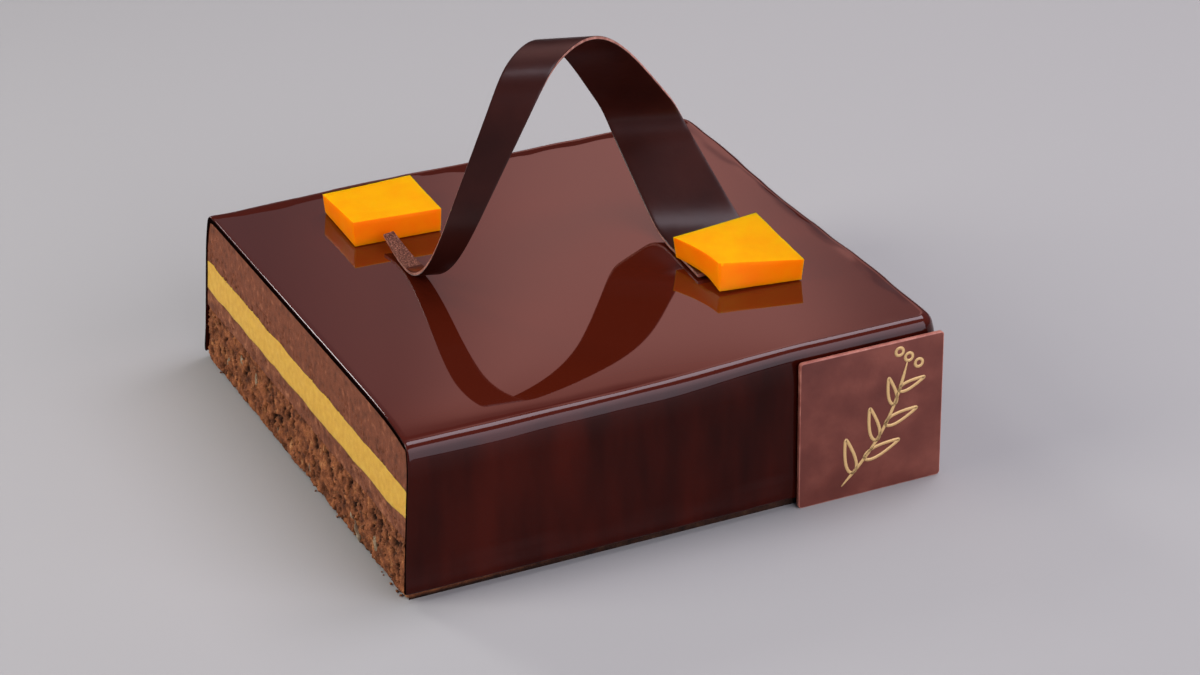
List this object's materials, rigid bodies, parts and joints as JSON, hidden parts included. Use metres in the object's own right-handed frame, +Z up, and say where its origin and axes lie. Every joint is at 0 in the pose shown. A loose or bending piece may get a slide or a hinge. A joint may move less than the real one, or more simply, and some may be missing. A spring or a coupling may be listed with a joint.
{
  "type": "glazed layer cake",
  "caption": "Square mirror-glazed brownie and mango mousse cake, trimmed on one side to show its layers, with jelly blocks, a curled chocolate ribbon and a leaning chocolate plaque.",
  "frame": {"origin": "Middle of the bottom of the whole object's bounding box, on the flat underside of the brownie", "axes": "X runs along the glazed front from the cut face towards the plaque; Y runs from the front to the back; Z is up"},
  "size_m": [0.18, 0.1778, 0.1257],
  "materials": {
    "brownie_crumb": "coarse baked crumb with walnut pieces",
    "fine_mousse": "fine set chocolate mousse, cut with a knife",
    "mango_cream": "set mango cream, cut with a knife",
    "chocolate_mousse": "set chocolate mousse with small air holes, cut with a knife",
    "mirror_glaze": "poured dark chocolate glaze, glossy as a mirror",
    "mango_jelly": "translucent amber fruit jelly, cut by hand",
    "ribbon_chocolate": "tempered dark chocolate, glossy on its wide faces",
    "plaque_chocolate": "cast chocolate tile with a satin face"
  },
  "bodies": {
    "root": {"brownie": "brownie_crumb", "lower_mousse": "fine_mousse", "mango_cream": "mango_cream", "upper_mousse": "chocolate_mousse", "mirror_glaze": "mirror_glaze", "mango_jelly_left": "mango_jelly", "mango_jelly_right": "mango_jelly", "chocolate_ribbon": "ribbon_chocolate", "chocolate_plaque": "plaque_chocolate"}
  },
  "joints": []
}
